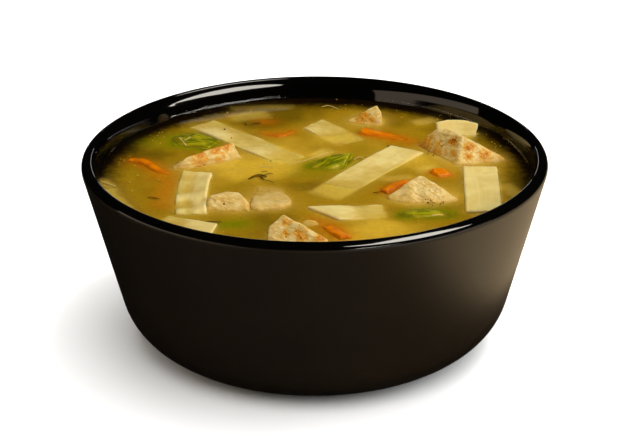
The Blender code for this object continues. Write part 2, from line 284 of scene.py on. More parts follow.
# the noodles' side faces: partly a paler cut edge, partly painted light that lifts the shade they get
DOUGH_SIDE_PALE_AND_PAINTED_LIGHT = (0.93, 0.80, 0.46)
# where fat and flour cloud it, and where it is clearer and so darker: middle, size and strength
CLOUDS = (
    (-14, 6, 14, 1), (-30, 10, 8, 0.6), (20, -49, 13, 1), (34, 5, 9, 0.8),
    (6, 27, 10, 0.5), (-24, -4, 8, 0.5), (60, -30, 8, 0.4), (-2, -16, 9, -0.5),
    (-18, -40, 12, -0.5), (33, -39, 8, -0.8), (62, -4, 10, -0.35), (0, 58, 14, -0.7),
    (-58, 14, 12, -1), (-54, -14, 10, -0.5), (30, 48, 9, -0.6), (-16, 50, 12, -0.9),
)
HASH = (73856093, 19349663, 83492791)  # for uneven but repeatable numbers on a grid


def lumps(points, size, seed):
    """Smooth uneven heights of about that size at each point, from -1 to 1."""
    at = points / size + 31.7 * seed
    cell = np.floor(at).astype(np.int64)
    t = at - cell
    t = t * t * (3 - 2 * t)
    total = np.zeros(len(points))
    for corner in np.ndindex(2, 2, 2):
        n = np.bitwise_xor.reduce((cell + corner) * HASH, axis=1)
        n = (n ^ (n >> 13)) * 1274126177 & 0xFFFFFFFF
        n = (n ^ (n >> 16)) & 0xFFFF
        total += np.where(corner, t, 1 - t).prod(1) * (n / 32767.5 - 1)
    return total


def cloudiness(points):
    """How cloudy the broth is over or under each point, from -1, clear, to 1."""
    flat = points * (1.0, 1.0, 0.0)
    total = 0.35 * lumps(flat, 11.0, 710) + 0.2 * lumps(flat, 4.5, 711)
    for x, y, size, strength in CLOUDS:
        away = ((points[:, :2] - (x, y)) ** 2).sum(1)
        total += strength * np.exp(-away / size**2)
    return np.clip(total, -1, 1)


def points_of(piece):
    """A piece's points and normals, in millimetres."""
    found = []
    for name, size in (("co", MM), ("normal", 1.0)):
        values = np.empty(len(piece.data.vertices) * 3, np.float32)
        piece.data.vertices.foreach_get(name, values)
        found.append(values.reshape(-1, 3).astype(float) / size)
    return found


def move_points(piece, points):
    """Moves a piece's points to these places, in millimetres, and gives it back."""
    piece.data.vertices.foreach_set("co", (points * MM).astype(np.float32).ravel())
    piece.data.update()
    return piece


def carry(piece, name, values):
    """Stores one number for each of a piece's points, for its finish to read."""
    kept = piece.data.attributes.new(name, "FLOAT", "POINT")
    kept.data.foreach_set("value", np.asarray(values, np.float32))


def broth_colour(finish):
    """The broth's colour at a place: cloudy, and with painted shade where the black wall is close behind
    it, for the wall seen through thin broth and the light it takes away.
    """
    cloud = finish.mark("cloud")
    colour = finish.blend(finish.band(cloud, -1.0, 0.0), BROTH_DARK, BROTH)
    colour = finish.blend(finish.band(cloud, 0.0, 1.0), colour, BROTH_PALE)
    reach = finish.from_axis(WALL_SHADE_SHIFT)
    ragged = finish.scaled(finish.noise(3.0, detail=5.0, rough=0.65), 6.0, reach)
    # painted shade near the wall, with a ragged edge
    painted_wall_shade = finish.band(ragged, WALL_AT_LEVEL - 8.0, WALL_AT_LEVEL + 3.0)
    return finish.blend(painted_wall_shade, colour, BROTH_PAINTED_WALL_SHADE)


def in_broth(finish, colour, dry, sunk):
    """Gives a piece its colour as seen through the broth, and its roughness out of it and sunk in it."""
    ragged = finish.scaled(finish.noise(2.6, detail=3.0), 0.6, -0.3 - SOAK)
    above = finish.maths("ADD", finish.maths("SUBTRACT", finish.z, LEVEL), ragged)
    depth = finish.maths("MINIMUM", above, 0.0)
    clear = finish.maths("EXPONENT", finish.maths("DIVIDE", depth, SIGHT))
    film = finish.maths("EXPONENT", finish.maths("DIVIDE", depth, STAIN_SIGHT))
    stained = finish.blend(film, finish.blend(1.0, colour, STAIN, mode="MULTIPLY"), colour)
    finish.put("Base Color", finish.blend(clear, broth_colour(finish), stained))
    finish.put("Roughness", finish.scaled(clear, dry - sunk, sunk))


def cooked(piece, fineness, rounds):
    """Gives a plain solid an even fine mesh and takes off its hard edges, as boiling does."""
    fine = piece.modifiers.new("fine", "REMESH")
    fine.mode = "VOXEL"
    fine.voxel_size = fineness * MM
    soft = piece.modifiers.new("soft", "SMOOTH")
    soft.factor = 0.5
    soft.iterations = rounds
    mesh = bpy.data.meshes.new_from_object(piece.evaluated_get(bpy.context.evaluated_depsgraph_get()))
    piece.modifiers.clear()
    piece.data = mesh
    mesh.shade_smooth()
    return piece


def nodes_of(kind):
    """The model's pieces of one kind, by name."""
    return [node for node in sorted(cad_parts) if node.startswith(kind + "_")]


def cut_from(node, fineness, rounds):
    """A cooked copy of one of the model's pieces."""
    return cooked(placed(node + "_cooked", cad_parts[node].data.copy()), fineness, rounds)


def settled(piece, heights):
    """Lets a piece sink until its top lies at each (x, y) at that height over the broth's level."""
    points, _ = points_of(piece)
    places = np.array([(x, y) for x, y, _ in heights])
    drops = []
    for x, y, height in heights:
        away = np.hypot(points[:, 0] - x, points[:, 1] - y)
        drops.append(points[away < away.min() + 1.0, 2].max() - LEVEL - height)
    away = ((points[:, None, :2] - places) ** 2).sum(2) + 3.0
    share = away**-1.5
    points[:, 2] -= (share * drops).sum(1) / share.sum(1)
    return move_points(piece, points)


def own_axes(points):
    """How far each point lies along, across and through a piece, from its middle."""
    centred = points - points.mean(0)
    _, directions = np.linalg.eigh(centred.T @ centred)
    return centred @ directions[:, ::-1], directions[:, ::-1]


def carry_place(piece, laid):
    """Stores where each point lies in the piece's own grain, and how cloudy the broth is there.
    Gives the piece back."""
    kept = piece.data.attributes.new("grain", "FLOAT_VECTOR", "POINT")
    kept.data.foreach_set("vector", np.asarray(laid, np.float32).ravel())
    carry(piece, "cloud", cloudiness(points_of(piece)[0]))
    return piece


def rolled(piece, seed):
    """The unevenness of boiled dough: swollen middles, wavy edges and faint lines from the rollers."""
    points, normals = points_of(piece)
    laid, directions = own_axes(points)
    carry_place(piece, laid)
    side = 1 - np.abs(normals @ directions[:, 2])
    # where the side faces are, for the painted light on them
    carry(piece, "side", np.clip(side * 1.6, 0, 1))
    flat = points * (1.0, 1.0, 0.3)
    points[:, 2] += 0.10 * lumps(flat, 11.0, seed) + 0.04 * lumps(flat, 4.0, seed + 1)
    lines = laid * (0.06, 1.0, 0.2)
    swell = 0.04 * lumps(points, 2.2, seed + 2) + 0.02 * lumps(lines, 0.55, seed + 3)
    edge = 0.12 * lumps(points, 1.9, seed + 4) + 0.07 * lumps(points, 0.9, seed + 5)
    points += normals * (swell + edge * np.clip(side, 0, 1))[:, None]
    return move_points(piece, points)


dough = Finish("boiled_noodle", 0.30, 0.15, (0.35, (0.0022, 0.0015, 0.0005)))
streaks = dough.noise(1.0, 3.0, dough.mark("grain", "Vector"), (16.0, 0.9, 0.9))
noodle_tone = dough.blend(dough.band(dough.noise(6.0, 3.0), 0.35, 0.7), *DOUGH)
noodle_tone = dough.tinted(noodle_tone, streaks, 0.45, 0.75, 0.5, DOUGH_STREAK)
# painted light on the side faces, over their paler cut edge
noodle_tone = dough.blend(dough.maths("MULTIPLY", dough.mark("side"), 0.6), noodle_tone, DOUGH_SIDE_PALE_AND_PAINTED_LIGHT)
in_broth(dough, noodle_tone, 0.32, 0.62)
dough.relief(dough.maths("ADD", dough.maths("MULTIPLY", streaks, 0.5), dough.noise(0.9, 3.0)), 0.03)

# how high each noodle's top lies over the broth's level, at places along and across it
NOODLE_TOPS = {
    "noodle_long_left": (
        (-39.4, 43.6, 0), (-35, 47.5, 0.05), (-43.7, 39.7, -0.1), (-29, 36.5, 0.05),
        (-18.9, 29.6, 0.1), (-23.2, 25.7, 0.1), (-27.5, 21.8, 0.05), (-13, 18.5, 0.1),
        (-7.4, 8.2, -0.15), (-3.2, 12, 0), (-11.6, 4.4, -0.9),
    ),
    "noodle_back": (
        (-0.6, 43, 0.2), (-4.5, 40, 0.1), (3.5, 46, 0.2), (6, 34.2, 0), (2, 31, -0.2),
        (10, 37.5, 0), (12.4, 24.5, -0.7), (8, 22, -1.3), (17, 28, -0.3),
    ),
    "noodle_long_middle": (
        (2.6, -22.6, -1), (9.6, -12.4, 0), (4.4, -8.8, 0.1), (14.8, -16, -0.1), (19.6, 2, 0.3),
        (14.4, 5.6, 0.5), (24.8, -1.6, 0.1), (31.2, 17.4, 0.5), (26, 21, 0.6), (36.4, 13.8, 0.4),
    ),
    "noodle_right": ((54.3, 1, 0.6), (53.4, -17, 0.7), (52.5, -36, 0.6)),
    "noodle_front": (
        (2.4, -36.8, 0.7), (-2, -33, 0.6), (5, -42, 0.7), (11, -36, 0.4), (11, -31, 0.3),
        (12, -41.5, 0.3), (22, -34.4, -0.3), (22, -29.5, 0), (24, -39.5, -0.8),
    ),
    "noodle_curved_left": (
        (-33.5, -3, 0.5), (-34, -14, 0.7), (-34, -27, 0.6), (-34, -36, 0.3),
        (-38.4, -2, 0.3), (-39.2, -14, 0.3), (-39, -27, 0.5), (-43.5, -3, 0.2),
        (-44.5, -14, 0.25), (-44, -27, 0.45), (-43, -36, 0.5), (-38.4, -36.6, 0.5),
    ),
    "noodle_edge_left": (
        (-65.8, -15, -0.3), (-63.4, -23, -0.2), (-66, -25, 0.2), (-60, -21, -0.9),
        (-58.6, -33.4, -0.1), (-61, -35, 0.3), (-55.5, -31, -0.9), (-52.8, -41.6, -0.2),
    ),
    "noodle_edge_front": (
        (-47.2, -40.4, -0.3), (-40.4, -44.4, 0.2), (-38, -41, 0.4), (-30.6, -49, 0.6),
        (-31, -45, 0.6),
    ),
    "noodle_back_left": ((-29.6, 48.6, -1.4), (-23.4, 51.2, -1.1), (-16.4, 53, -1.4)),
    "noodle_under_celery": ((-0.4, 11.4, -0.9), (2, 14.4, -0.6), (5.6, 18.4, -0.9)),
}
TOP_SWELL = 0.05  # what the dough's unevenness then adds to them

food = []
for seed, node in enumerate(nodes_of("noodle")):
    noodle = cut_from(node, NOODLE_MESH, 3)
    if node in NOODLE_TOPS:
        settled(noodle, [(x, y, height - TOP_SWELL) for x, y, height in NOODLE_TOPS[node]])
    food.append(serve(rolled(noodle, 10 * seed), dough, "noodle", node))

# -------------------- the chicken
# Breast meat, browned on a grill and then cut into lumps: cut faces are pale and fibrous, and the
# outer faces are rough, browned in patches and dusted with pepper. Each lump floats low.

MEAT_MESH = 0.30
SPREAD = 1.0  # how much wider a lump is for each millimetre under the broth
MEAT = (0.69, 0.47, 0.125), (0.79, 0.60, 0.225)
# partly the meat's own darker and paler fibres, partly painted shade in the cracks and painted highlight
# on the fibres
MEAT_CRACK_AND_PAINTED_SHADE = (0.56, 0.32, 0.060)
MEAT_FIBRE_AND_PAINTED_HIGHLIGHT = (0.97, 0.85, 0.52)
MEAT_SOAKED = (0.60, 0.37, 0.060)
GRILLED = (0.72, 0.36, 0.030)
GRILLED_DARK = (0.55, 0.18, 0.008)
CHARRED = (0.07, 0.018, 0.004)
# patches on the meat: middle (x, y, z), size, and how brown they are; over 1 is charred
BROWNED = {
    "chicken_browned_left": (
        ((-37.9, 5.9, 60), 3, 0.9), ((-33, 9.5, 60.8), 2.8, 1), ((-29.5, 11.5, 60.9), 2.2, 1),
        ((-37.9, 4.1, 57.1), 2.5, 1), ((-32, 8, 57), 2.4, 0.8),
    ),
    "chicken_left": (((-29, -30.5, 59), 2, 0.35), ((-22, -31.5, 57.5), 2, 0.35)),
    "chicken_back": (((17, 44.7, 58.6), 2.6, 0.9), ((20, 43, 57.6), 1.6, 0.8)),
    "chicken_grilled": (
        ((36.5, 20.5, 58.4), 4, 1), ((40, 14, 58.2), 3.2, 0.9), ((42.1, 15.8, 60.4), 1.3, 0.4),
        ((45.8, 12.5, 62), 1.5, 1.6), ((46.5, 8.5, 58.7), 1.6, 0.8), ((43.9, 11.6, 58.4), 1.6, 0.5),
        ((51.6, 8.8, 61.3), 1.9, 1), ((56.8, 7.2, 59.2), 2.2, 1), ((50.5, 7, 58), 1.8, 1),
        ((61.6, 8.1, 57.6), 1.2, 0.6),
    ),
    "chicken_peak": (((36.5, -27.5, 57.8), 2.2, 0.35),),
    "chicken_front": (
        ((-8.4, -54.8, 62.2), 1.6, 0.8), ((-4.4, -58.5, 59.5), 2.2, 0.9), ((1.5, -59.4, 58.9), 2, 1),
        ((-9, -57.5, 59.2), 1.5, 0.8), ((-1.5, -56.6, 61), 1.2, 0.8),
    ),
}
GRAIN_ALONG = {"chicken_flaked": (0.97, -0.24), "chicken_peak": (0.80, -0.60)}  # which way the fibres run
FLAKED_CORNER = (-7.8, -36.0)  # the flaked lump has swollen away from this corner
FLAKED_SWELL = 1.2
MEAT_TOPS = {
    "chicken_crumb": ((-1.2, -43.6, 0.4),),
    "chicken_flaked": (
        (-20, -31, 0.8), (-14, -33, 0.9), (-8.5, -34, 0.7), (-18, -25, 0.5),
        (-11, -27, 0.6), (-17, -19, 0), (-12, -19, 0.1),
    ),
}


def spread_under(piece):
    """Makes a lump wider under the broth, so that it goes out of sight slowly."""
    points, _ = points_of(piece)
    out = points[:, :2] - points[:, :2].mean(0)
    length = np.hypot(out[:, 0], out[:, 1])[:, None]
    depth = np.clip(LEVEL + 0.3 - points[:, 2], 0, 3.5)[:, None]
    points[:, :2] += out / np.maximum(length, 1.0) * depth * SPREAD
    return move_points(piece, points)


def brown_at(points, patches, seed):
    """How browned the meat is at each point."""
    brown = np.zeros(len(points))
    for middle, size, strength in patches:
        away = np.linalg.norm(points - middle, axis=1) / size
        away += 0.45 * lumps(points, 1.3, seed + 4) + 0.35 * lumps(points, 0.6, seed + 5)
        brown = np.maximum(brown, strength * np.clip(1.35 - away, 0, 1))
    return brown


def browned_meat(piece, seed, patches, along):
    """Muscle fibres on every face, deeper cracks between bundles, and a rough browned outside."""
    points, normals = points_of(piece)
    laid, _ = own_axes(points)
    if along:
        x, y = along
        laid = points @ np.array(((x, y, 0.0), (-y, x, 0.0), (0.0, 0.0, 1.0))).T
    brown = brown_at(points, patches, seed)
    carry(piece, "brown", brown)
    bundle = 1 - np.abs(lumps(laid * (0.16, 1.0, 1.0), 1.7, seed))
    relief = 0.28 * lumps(points, 3.2, seed + 1) + 0.10 * lumps(points, 1.3, seed + 2)
    relief += 0.05 * lumps(points, 0.7, seed + 3) + 0.18 * (bundle**3 - 0.5)
    relief += 0.30 * np.clip(brown, 0, 1) * lumps(points, 0.9, seed + 7)
    return carry_place(move_points(piece, points + normals * relief[:, None]), laid)


meat = Finish("browned_chicken", 0.35, 0.18, (0.15, (0.0012, 0.0008, 0.0004)))
fibre = meat.noise(1.0, 4.0, meat.mark("grain", "Vector"), (2.0, 0.45, 0.45))
meat_tone = meat.blend(meat.band(meat.noise(2.6, 4.0), 0.38, 0.62), *MEAT)
# painted shade in the cracks and painted highlight on the fibres, following the same fibre pattern as the
# bumps
meat_tone = meat.tinted(meat_tone, fibre, 0.48, 0.34, 0.35, MEAT_CRACK_AND_PAINTED_SHADE)
meat_tone = meat.tinted(meat_tone, fibre, 0.52, 0.66, 0.55, MEAT_FIBRE_AND_PAINTED_HIGHLIGHT)
brownness = meat.maths("MULTIPLY", meat.mark("brown"), meat.scaled(meat.noise(0.5, 4.0), 2.2, -0.25))
for low, high, tone in ((0.10, 0.50, GRILLED), (0.50, 1.0, GRILLED_DARK), (1.20, 1.5, CHARRED)):
    meat_tone = meat.blend(meat.band(brownness, low, high), meat_tone, tone)
wetted = meat.scaled(meat.noise(1.2), 1.2, meat.z)
meat_tone = meat.tinted(meat_tone, wetted, LEVEL + 2.4, LEVEL + 0.5, 0.45, MEAT_SOAKED)
in_broth(meat, meat_tone, 0.37, 0.62)
meat.relief(meat.maths("ADD", fibre, meat.noise(0.5, 3.0)), 0.13)

for seed, node in enumerate(nodes_of("chicken")):
    lump = cut_from(node, MEAT_MESH, 2)
    if node == "chicken_flaked":
        points, _ = points_of(lump)
        points[:, :2] = FLAKED_CORNER + (points[:, :2] - FLAKED_CORNER) * FLAKED_SWELL
        move_points(lump, points)
    if node in MEAT_TOPS:
        settled(lump, MEAT_TOPS[node])
    browned_meat(spread_under(lump), 200 + 10 * seed, BROWNED.get(node, ()), GRAIN_ALONG.get(node))
    food.append(serve(lump, meat, "chicken", node))

# -------------------- the carrots
# Carrot cut into sticks, a slice and a dice, boiled until tender: bright orange and wet, with rounded
# edges. They float, and some hang under the surface by one end.

CARROT_MESH = 0.25
CARROT = (0.62, 0.150, 0.0008), (0.84, 0.275, 0.002)


def threaded(finish, stretch, low, high, tones, depth):
    """Tones and slight ridges that run along a piece's own length; gives back the tone."""
    threads = finish.noise(1.0, 3.0, finish.mark("grain", "Vector"), stretch)
    finish.relief(threads, depth)
    return finish.blend(finish.band(threads, low, high), *tones)


root_flesh = Finish("boiled_carrot", 0.25, 0.12, (0.25, (0.002, 0.0008, 0.0002)))
in_broth(root_flesh, threaded(root_flesh, (5.0, 0.6, 0.6), 0.35, 0.7, CARROT, 0.06), 0.28, 0.60)

CARROT_TOPS = {
    "carrot_stick_left": ((-61.6, 9.4, 0.4), (-56.4, 6.4, 0.6), (-51.4, 0.2, 0.4), (-47.2, -3.6, -0.3)),
    "carrot_stick_back": ((-18.4, 34.8, -0.6), (-12.6, 32.2, -0.1), (-6.6, 36.6, -0.2)),
    "carrot_stick_right": ((16.4, 34.4, 1.1), (24, 31.2, 0.6), (33, 26.8, -0.5)),
    "carrot_slice": ((22, -19.4, 0.7), (26.2, -15.6, 1.2), (30, -11, 0.8)),
    "carrot_stick_front": ((3.2, -46, 0.1), (6.4, -51, 0.6), (9.2, -55.4, 0.8)),
    "carrot_dice": ((41.4, -3.8, 0.9),),
}


def tender(piece, seed, amount, broader=1.0):
    """Slight swellings and dents, as a boiled vegetable has; broader swells it across."""
    points, normals = points_of(piece)
    laid, directions = own_axes(points)
    points += laid[:, 1:2] * directions[:, 1] * (broader - 1)
    swell = lumps(points, 2.6, seed) + 0.5 * lumps(points, 1.1, seed + 1)
    return carry_place(move_points(piece, points + normals * (amount * swell)[:, None]), laid)


for seed, node in enumerate(nodes_of("carrot")):
    stick = settled(cut_from(node, CARROT_MESH, 3), CARROT_TOPS[node])
    broader = 1.15 if node == "carrot_slice" else 1.35
    food.append(serve(tender(stick, 400 + 10 * seed, 0.15, broader), root_flesh, "carrot", node))

# -------------------- the celery
# Slices cut across a celery stalk: green, juicy, bowed as the stalk is, with ribs along the outside.
# They are boiled soft and float low; only the middle one lifts an end well out of the broth.

CELERY_MESH = 0.28
CELERY = (0.130, 0.153, 0.0007), (0.44, 0.40, 0.008)

stalk_flesh = Finish("boiled_celery", 0.22, 0.2, (0.25, (0.0012, 0.0018, 0.0003)))
in_broth(stalk_flesh, threaded(stalk_flesh, (6.0, 1.0, 1.0), 0.38, 0.66, CELERY, 0.15), 0.22, 0.57)

CELERY_TOPS = {
    "celery_left": ((-49.6, 27, -0.4), (-42.6, 26.6, 0.3), (-34.8, 21.6, 0.4), (-39, 31, 0.3)),
    "celery_middle": ((-7, 0.2, -1.9), (-0.4, 3.4, 0.1), (6, 5.4, 2.2), (11, 6, 2.8)),
    "celery_front": ((24.6, -38.2, -0.3), (34, -36.6, 0.5), (44, -37.4, -0.4)),
}

for seed, node in enumerate(nodes_of("celery")):
    stalk = settled(cut_from(node, CELERY_MESH, 3), CELERY_TOPS[node])
    food.append(serve(tender(stalk, 500 + 10 * seed, 0.22, 1.3), stalk_flesh, "celery", node))

# -------------------- what is sunk in the broth
# Ends of noodle, carrot and celery that lie just under the surface and show through it. They are the
# same food as what floats, whole pieces that hang in the broth.

SUNK_MESH = 0.35
# route (x, y, height of the top over the level), width and thickness
SUNK = {
    "noodle": {
        "left": (((-70, -7, -1.3), (-66.5, -12, -0.5), (-64.5, -17, -1.5)), 5, 1.5),
        "by_dice": (((33, -1.5, -1.5), (37, 0, -0.7), (41, 1.5, -1.3)), 7, 1.5),
        "back": (((34.5, 43.5, -1.3), (39, 45.5, -0.9), (43, 48, -1.6)), 6, 1.5),
        "right": (((60.5, -12, -1.7), (63, -19, -1.2), (66, -26, -1.7)), 6, 1.5),
        "middle": (((20, -7, -1.6), (26, -8, -1), (32, -6, -1.6)), 5.5, 1.5),
        "far": (((-30, 58.5, -2.4), (-18, 60.5, -2), (-7, 60.5, -2.4)), 5, 1.5),
        "far_left": (((-27, 50.5, -2.2), (-21, 53, -1.9), (-15, 52.5, -2.2)), 3.4, 1.2),
    },
    "carrot": {
        "front": (((15, -32.5, -0.9), (19, -31, -0.5), (23, -31.5, -1.2)), 4.2, 3),
        "left": (((-54, -3, -1.3), (-49, -6, -0.9), (-45, -12, -1.1)), 7, 2.5),
        "deep_left": (((-48, -33, -1.7), (-47.5, -24, -1.2), (-46, -8, -1)), 8, 2.5),
        "back": (((-21, 44.5, -1.2), (-17.5, 46, -0.8), (-13, 44, -1.2)), 6, 2.5),
        "right": (((37, 22, -1.5), (32, 25.5, -0.9), (25, 29, -1)), 6, 2.5),
        "middle": (((-3, -38.5, -1.4), (2, -43.5, -0.7), (9, -52, -0.8)), 7, 2.5),
    },
    "celery": {
        "front": (((-31, -44, -1), (-24.5, -44.6, -0.5), (-18, -43.5, -1.3)), 9, 2.5),
        "left": (((-58, 22, -1.5), (-50, 30, -0.9), (-38, 35, -1)), 9, 2.5),
        "beside": (((-52, 21, -1.2), (-46, 23, -0.8), (-38, 21, -0.9)), 8, 2.5),
        "right": (((46, -34, -1.8), (40, -31.5, -1.3), (33, -33, -1.8)), 5, 2.5),
        "middle": (((-9, -2, -2), (-2, -4.5, -1.5), (7, -4, -2)), 6, 2.5),
    },
}


def eased(route, rounds=3):
    """A route with its corners cut off, as a soft strand lies."""
    route = np.array(route, float)
    for _ in range(rounds):
        first = route[:-1] * 0.75 + route[1:] * 0.25
        second = route[:-1] * 0.25 + route[1:] * 0.75
        route = np.concatenate([route[:1], np.stack([first, second], 1).reshape(-1, 3), route[-1:]])
    return route


def tube(route, across, through, sides=8, blunt=0.25):
    """A closed strand along a route: its points and faces. blunt is how soon it reaches full width."""
    route = np.asarray(route, float)
    heading = np.gradient(route, axis=0)
    heading /= np.linalg.norm(heading, axis=1)[:, None]
    sideways = np.cross(heading, (0.0, 0.0, 1.0))
    sideways /= np.linalg.norm(sideways, axis=1)[:, None]
    up = np.cross(sideways, heading)
    share = np.linspace(0, 1, len(route))
    ends = np.clip(np.minimum(share, 1 - share) / blunt, 0.0, 1.0)
    full = np.sqrt(1 - (1 - ends) ** 2) * 0.97 + 0.03
    angles = np.linspace(0, 2 * math.pi, sides, endpoint=False)
    square = np.maximum(np.abs(np.cos(angles)), np.abs(np.sin(angles))) ** 0.5
    points = []
    for i, place in enumerate(route):
        for a, s in zip(angles, square):
            offset = sideways[i] * math.cos(a) * across / 2 + up[i] * math.sin(a) * through / 2
            points.append(place + offset * full[i] / s)
    ends = [tuple(range(sides))[::-1], tuple(range(len(points) - sides, len(points)))]
    return points, ends + bands(len(route), sides)


def joined(name, parts):
    """One object from many closed bodies, each a pair of points and faces."""
    points, faces = [], []
    for some_points, some_faces in parts:
        start = len(points)
        points += [tuple(p) for p in some_points]
        faces += [tuple(start + i for i in face) for face in some_faces]
    return solid(name, points, faces)


sunk_pieces = []
for kind, places in SUNK.items():
    for where, (route, width, thickness) in places.items():
        seed = 600 + 10 * len(sunk_pieces)
        centre = eased([(x, y, LEVEL + z - thickness / 2) for x, y, z in route])
        shape = tube(centre, width, thickness, sides=12, blunt=0.15)
        strand = cooked(joined(f"sunk_{kind}_{where}", [shape]), SUNK_MESH, 2)
        if kind == "noodle":
            serve(rolled(strand, seed), dough, kind)
        else:
            serve(tender(strand, seed, 0.2), root_flesh if kind == "carrot" else stalk_flesh, kind)
        sunk_pieces.append(strand)

# -------------------- the broth
# Clear chicken stock, clouded gold by fat and flour. Its cloudy depth is one closed body a little under
# the surface, coloured near each piece of food by it, with a painted glow of scattered light round each;
# the surface is a thin clear layer over it.

BODY_UNDER = 0.32  # the cloudy body's top lies this far under the clear surface
BODY_DEEP = 12.0  # and its bottom this far under the level
GRID = 0.58  # the size of the surface's faces
SURFACE_REACH = WALL_AT_LEVEL + 0.9  # into the wall, so that no gap shows
GRID_COUNT = int(SURFACE_REACH / GRID) + 1
DEEP = 1.2  # food further down than this shows with a softer edge
# how far the painted glow round each piece reaches
PAINTED_GLOW_WIDTH = 2.4
# what shows through: the colour it gives the broth, how strongly, how far its edge spreads, and how much
# of it shows as a painted glow of scattered light round it
SHADES = {
    "noodle": ((0.78, 0.54, 0.085), 1.0, 0.5, 0.35),
    "chicken": ((0.66, 0.40, 0.065), 1.0, 0.9, 0.7),
    "celery": ((0.150, 0.170, 0.0008), 1.6, 1.1, 0.8),
    "carrot": ((0.54, 0.125, 0.0008), 1.35, 1.1, 1.0),
}


def round_sheet(name, reach, height, underside):
    """A closed round layer on an even grid: height gives its top at each (x, y), its bottom is level."""
    line = np.arange(-GRID_COUNT, GRID_COUNT + 1) * GRID
    x, y = np.meshgrid(line, line, indexing="ij")
    number = np.where(np.hypot(x, y) <= reach, np.arange(x.size).reshape(x.shape), -1)
    quads = np.stack([number[:-1, :-1], number[1:, :-1], number[1:, 1:], number[:-1, 1:]], axis=-1)
    quads = quads.reshape(-1, 4)
    used, quads = np.unique(quads[(quads >= 0).all(1)], return_inverse=True)
    quads = quads.reshape(-1, 4)
    top = np.column_stack([x.ravel()[used], y.ravel()[used], np.zeros(len(used))])
    top[:, 2] = height(top)
    bottom = top * (1.0, 1.0, 0.0) + (0.0, 0.0, underside)
    edges = np.concatenate([quads[:, [i, (i + 1) % 4]] for i in range(4)])
    pairs = {(a, b) for a, b in edges.tolist()}
    rim = [(a, b) for a, b in pairs if (b, a) not in pairs]
    n = len(top)
    faces = quads.tolist() + (quads[:, ::-1] + n).tolist() + [(b, a, a + n, b + n) for a, b in rim]
    return solid(name, np.concatenate([top, bottom]), faces), top


trees = {}


def tops(pieces, at):
    """How high some pieces reach over each point; far below it where there is none."""
    found = np.full(len(at), -1e3)
    for piece in pieces:
        if piece.name not in trees:
            points = points_of(piece)[0]
            tree = BVHTree.FromObject(piece, bpy.context.evaluated_depsgraph_get())
            trees[piece.name] = tree, points.min(0), points.max(0)
        tree, low, high = trees[piece.name]
        for i in np.where((at[:, :2] >= low[:2]).all(1) & (at[:, :2] <= high[:2]).all(1))[0]:
            hit = tree.ray_cast(Vector((at[i, 0] * MM, at[i, 1] * MM, 0.1)), Vector((0, 0, -1)))[0]
            if hit is not None:
                found[i] = max(found[i], hit.z / MM)
    return found


def blurred(at, values, width):
    """Values at points of the grid, run into one another over about that width."""
    field = np.zeros((2 * GRID_COUNT + 1, 2 * GRID_COUNT + 1))
    i, j = (np.rint(at[:, :2] / GRID).astype(int) + GRID_COUNT).T
    field[i, j] = values
    reach = int(3 * width / GRID)
    kernel = np.exp(-0.5 * (np.arange(-reach, reach + 1) * GRID / width) ** 2)
    kernel /= kernel.sum()
    for axis in (0, 1):
        field = np.apply_along_axis(np.convolve, axis, field, kernel, "same")
    return field[i, j]


def body_height(at):
    """The top of the cloudy body, nearly level."""
    return LEVEL - BODY_UNDER + 0.05 * lumps(at, 7.0, 700)


body, at = round_sheet("broth_depth", SURFACE_REACH, body_height, LEVEL - BODY_DEEP)
all_tops = tops(food + sunk_pieces, at)
for kind, (_, strength, spread, painted_glow) in SHADES.items():
    own = tops([p for p in food + sunk_pieces if p["kind"] == kind], at)
    depth = np.clip(LEVEL + SOAK - own, 0, None)
    seen = np.where(own >= all_tops - 0.4, strength * np.exp(-depth / SIGHT), 0.0)
    sharp = blurred(at, np.where(depth < DEEP, seen, 0.0), spread)
    soft = blurred(at, np.where(depth < DEEP, 0.0, seen), 1.8 * spread)
    # painted glow: the piece's colour spread wide round it in the broth
    shown = np.clip(np.maximum(sharp + soft, painted_glow * blurred(at, seen, PAINTED_GLOW_WIDTH)), 0, 1)
    carry(body, kind, np.concatenate([shown, np.zeros(len(at))]))
carry(body, "cloud", cloudiness(points_of(body)[0]))

stock = Finish("golden_broth", 0.6, 0.0, (1.0, (0.0022, 0.0015, 0.0004)))
stock_tone = broth_colour(stock)
for kind, (shade, *_) in SHADES.items():
    stock_tone = stock.blend(stock.mark(kind), stock_tone, shade)
grainy = stock.scaled(stock.noise(1.3, detail=5.0, rough=0.65), 0.55, 0.74)
stock.put("Base Color", stock.blend(1.0, stock_tone, grainy, mode="MULTIPLY"))
serve(body, stock, "broth", "broth")

CREEP = 0.30  # how far the surface climbs up what stands in it
CREEP_WIDTH = 0.75


def surface_height(at):
    """The broth's top: ripples, and a rise against each piece that stands out of it."""
    high = tops(food, at)
    standing = high > LEVEL + 0.10
    tree = KDTree(int(standing.sum()))
    for i, point in enumerate(at[standing]):
        tree.insert((point[0], point[1], 0.0), i)
    tree.balance()
    away = np.array([0.0 if s else tree.find((p[0], p[1], 0.0))[2] for p, s in zip(at, standing)])
    ripple = 0.03 * lumps(at, 9.0, 720) + 0.012 * lumps(at, 3.1, 721)
    uneven = 1 + 0.5 * lumps(at, 5.0, 722)
    rise = CREEP * uneven * np.exp(-np.maximum(away - 0.4, 0) / CREEP_WIDTH)
    level = LEVEL + ripple + rise
    return np.where(standing, np.minimum(level, high - 0.12), level)


